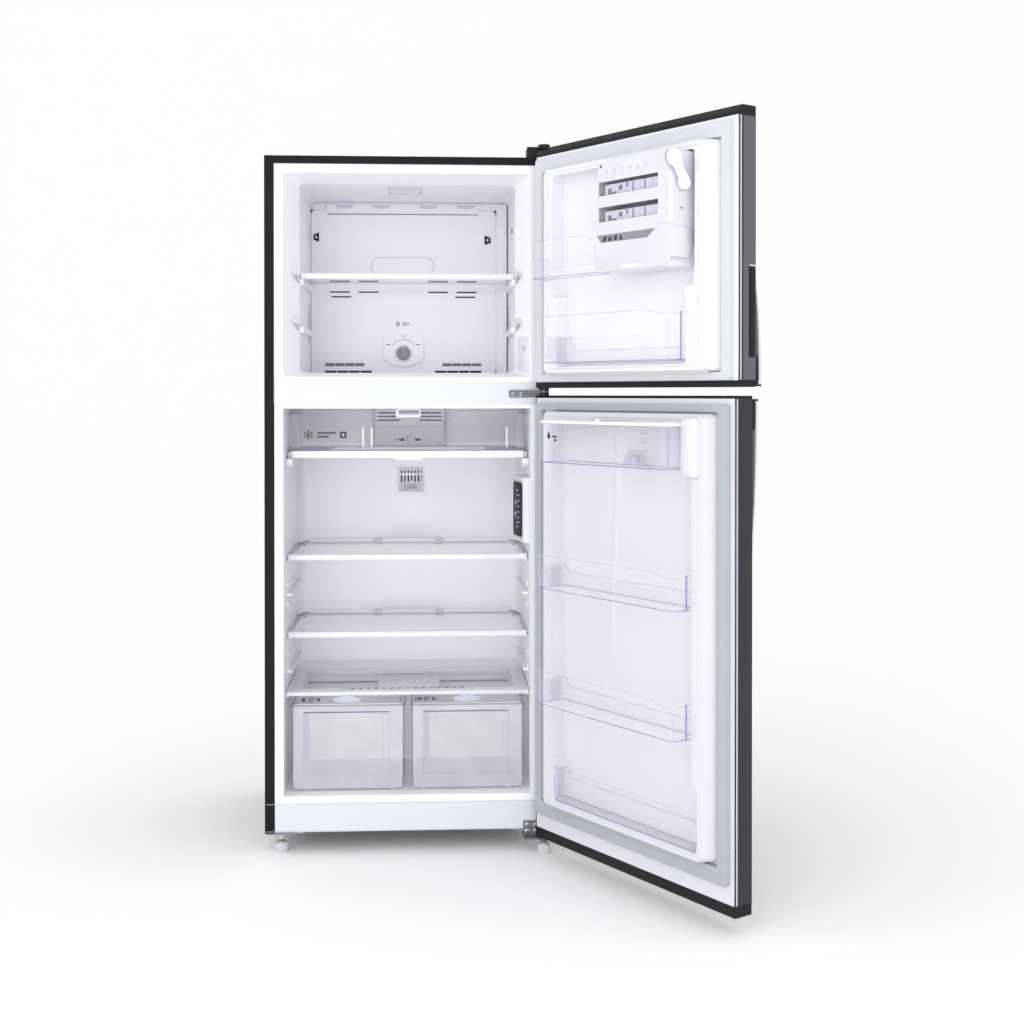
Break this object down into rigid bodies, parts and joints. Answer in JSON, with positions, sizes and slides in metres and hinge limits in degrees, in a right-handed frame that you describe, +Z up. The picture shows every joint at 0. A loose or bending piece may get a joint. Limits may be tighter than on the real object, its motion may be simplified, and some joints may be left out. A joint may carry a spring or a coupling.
{
  "type": "top freezer refrigerator",
  "caption": "Two-door top-freezer refrigerator standing with both doors open, showing glass shelves, clear drawers and bins, a water tank and a twist ice maker.",
  "frame": {"origin": "on the floor under the centre of the cabinet, midway between its sides and between its front flange and its back", "axes": "+Z up, +X to the right and +Y to the back for a person standing in front of the cabinet"},
  "size_m": [1.0841, 1.2013, 1.716],
  "materials": {
    "cabinet_paint": "fine satin charcoal paint",
    "door_paint": "brushed dark steel look, satin",
    "bare_steel": "zinc-plated",
    "rail_paint": "white gloss paint",
    "liner_white": "vacuum-formed white, soft gloss",
    "white_trim": "moulded white",
    "clear_plastic": "clear moulded with a violet tint",
    "shelf_glass": "toughened clear glass",
    "seal_rubber": "soft pale grey",
    "black_plastic": "fine grain black",
    "handle_metal": "satin silver",
    "knob_grey": "satin grey",
    "foot_plastic": "pale grey",
    "foam": "rigid closed-cell foam",
    "aluminium_fins": "bare fins",
    "motor_grey": "satin grey",
    "board": "hard fibre board"
  },
  "bodies": {
    "cabinet": {"cabinet_shell": "cabinet_paint", "rear_panel": "bare_steel", "rear_cover": "board", "cabinet_foam": "foam", "freezer_liner": "liner_white", "fridge_liner": "liner_white", "center_rail": "rail_paint", "base_panel": "rail_paint", "base_frame": "bare_steel", "top_hinge": "bare_steel", "top_hinge_cover": "black_plastic", "middle_hinge": "bare_steel", "bottom_hinge": "bare_steel", "hinge_screws": "bare_steel", "evaporator_cover": "white_trim", "evaporator_coil": "aluminium_fins", "fan_motor": "motor_grey", "glass_shelves": "shelf_glass", "shelf_trims": "white_trim", "chiller_tray": "white_trim", "air_duct": "white_trim", "control_box": "white_trim", "crisper_cover": "white_trim", "crisper_glass": "shelf_glass", "compressor": "black_plastic", "cord_inlet": "black_plastic"},
    "fan": {"fan_blade": "black_plastic"},
    "temperature_knob": {"temperature_knob": "knob_grey"},
    "damper_slider": {"damper_slider": "white_trim"},
    "chiller_drawer": {"chiller_drawer": "clear_plastic"},
    "crisper_left": {"crisper_left": "clear_plastic"},
    "crisper_right": {"crisper_right": "clear_plastic"},
    "left_foot": {"left_foot": "foot_plastic"},
    "right_foot": {"right_foot": "foot_plastic"},
    "rear_rollers": {"rear_rollers": "black_plastic"},
    "freezer_door": {"freezer_door_skin": "door_paint", "freezer_door_caps": "black_plastic", "freezer_door_liner": "liner_white", "freezer_door_foam": "foam", "freezer_door_gasket": "seal_rubber", "freezer_handle": "handle_metal", "freezer_small_bin": "clear_plastic", "freezer_large_bin": "clear_plastic", "ice_maker_housing": "white_trim"},
    "ice_lever": {"ice_lever": "white_trim", "ice_tray_upper": "clear_plastic"},
    "ice_tray_lower": {"ice_tray_lower": "clear_plastic"},
    "ice_bin": {"ice_bin": "white_trim"},
    "fridge_door": {"fridge_door_skin": "door_paint", "fridge_door_caps": "black_plastic", "fridge_door_liner": "liner_white", "fridge_door_foam": "foam", "fridge_door_gasket": "seal_rubber", "fridge_handle": "handle_metal", "water_tank": "clear_plastic", "tank_lid": "white_trim", "door_bins": "clear_plastic", "bottom_bin": "clear_plastic", "dispenser_housing": "black_plastic"},
    "dispenser_lever": {"dispenser_lever": "black_plastic"}
  },
  "joints": [
    {"name": "freezer_door_hinge", "type": "hinge", "parent": "cabinet", "child": "freezer_door", "pos_m": [0.331, -0.323, 1.4], "axis": [0, 0, 1], "range_deg": [-122.7, 0]},
    {"name": "fridge_door_hinge", "type": "hinge", "parent": "cabinet", "child": "fridge_door", "pos_m": [0.331, -0.323, 0.6], "axis": [0, 0, 1], "range_deg": [-121.9, 0]},
    {"name": "chiller_drawer_slide", "type": "slide", "parent": "cabinet", "child": "chiller_drawer", "axis": [0, -1, 0], "range_m": [0, 0.23]},
    {"name": "crisper_left_slide", "type": "slide", "parent": "cabinet", "child": "crisper_left", "axis": [0, -1, 0], "range_m": [0, 0.24]},
    {"name": "crisper_right_slide", "type": "slide", "parent": "cabinet", "child": "crisper_right", "axis": [0, -1, 0], "range_m": [0, 0.24]},
    {"name": "temperature_knob_turn", "type": "hinge", "parent": "cabinet", "child": "temperature_knob", "pos_m": [-0.017, 0.108, 1.224], "axis": [0, 1, 0], "range_deg": [-130, 130]},
    {"name": "damper_slide", "type": "slide", "parent": "cabinet", "child": "damper_slider", "axis": [1, 0, 0], "range_m": [-0.02, 0.02]},
    {"name": "evaporator_fan_spin", "type": "hinge", "parent": "cabinet", "child": "fan", "pos_m": [-0.017, 0.16, 1.5], "axis": [0, 1, 0], "continuous": true},
    {"name": "left_foot_turn", "type": "hinge", "parent": "cabinet", "child": "left_foot", "pos_m": [-0.307, -0.275, 0.01], "axis": [0, 0, 1], "continuous": true},
    {"name": "right_foot_turn", "type": "hinge", "parent": "cabinet", "child": "right_foot", "pos_m": [0.331, -0.323, 0.01], "axis": [0, 0, 1], "continuous": true},
    {"name": "rear_rollers_roll", "type": "hinge", "parent": "cabinet", "child": "rear_rollers", "pos_m": [0, 0.235, 0.022], "axis": [1, 0, 0], "continuous": true},
    {"name": "ice_lever_turn", "type": "hinge", "parent": "freezer_door", "child": "ice_lever", "pos_m": [0.50157, -0.72567, 1.558], "axis": [-0.5402, 0.8415, 0], "range_deg": [-110, 0], "stiffness_Nm_per_rad": 0.15},
    {"name": "lower_tray_turn", "type": "hinge", "parent": "freezer_door", "child": "ice_tray_lower", "pos_m": [0.50157, -0.72567, 1.5], "axis": [-0.5402, 0.8415, 0], "range_deg": [-110, 0]},
    {"name": "ice_bin_slide", "type": "slide", "parent": "freezer_door", "child": "ice_bin", "axis": [-0.8415, -0.5402, 0], "range_m": [0, 0.1]},
    {"name": "dispenser_lever_push", "type": "hinge", "parent": "fridge_door", "child": "dispenser_lever", "pos_m": [0.52987, -0.60087, 0.946], "axis": [-0.5284, 0.849, 0], "range_deg": [0, 7], "stiffness_Nm_per_rad": 0.3}
  ],
  "couplings": [
    {"joint": "lower_tray_turn", "follows": "ice_lever_turn", "ratio": 1}
  ]
}
